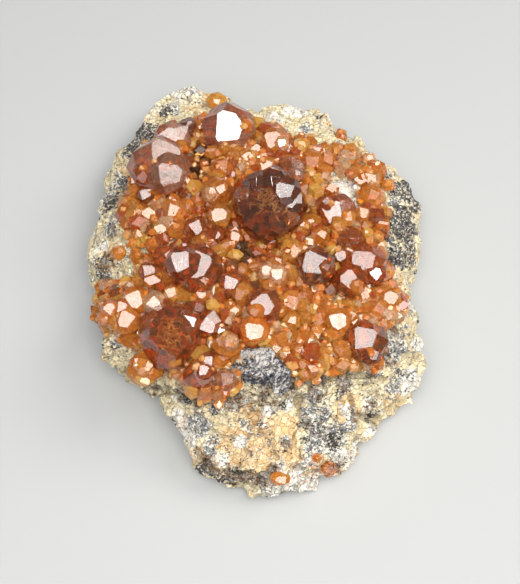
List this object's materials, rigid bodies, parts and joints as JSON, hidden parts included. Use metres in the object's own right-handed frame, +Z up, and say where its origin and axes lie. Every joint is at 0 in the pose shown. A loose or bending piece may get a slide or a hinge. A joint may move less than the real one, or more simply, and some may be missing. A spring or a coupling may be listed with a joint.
{
  "type": "garnet mineral specimen",
  "caption": "Free-standing mineral specimen: a lump of pale feldspar and quartz rock whose top is covered with many-sided orange to red-brown garnet crystals.",
  "frame": {"origin": "centre of the specimen's box, on the flat underside that it rests on", "axes": "+Z up, +X to the right and +Y away from the front, which is the lower, bare end of the rock; the longest side runs along Y"},
  "size_m": [0.0598, 0.0784, 0.0279],
  "materials": {
    "rock": "rough broken feldspar and quartz, cream to peach with grey and black grains, dull",
    "garnet": "see-through orange to red-brown garnet, glassy flat faces",
    "quartz": "dark blue-grey smoky quartz, silky broken faces"
  },
  "bodies": {
    "root": {"matrix": "rock", "garnet_druse": "garnet", "garnet_north": "garnet", "garnet_west": "garnet", "garnet_south": "garnet", "garnet_south_middle": "garnet", "garnet_south_small": "garnet", "smoky_quartz": "quartz"}
  },
  "joints": []
}
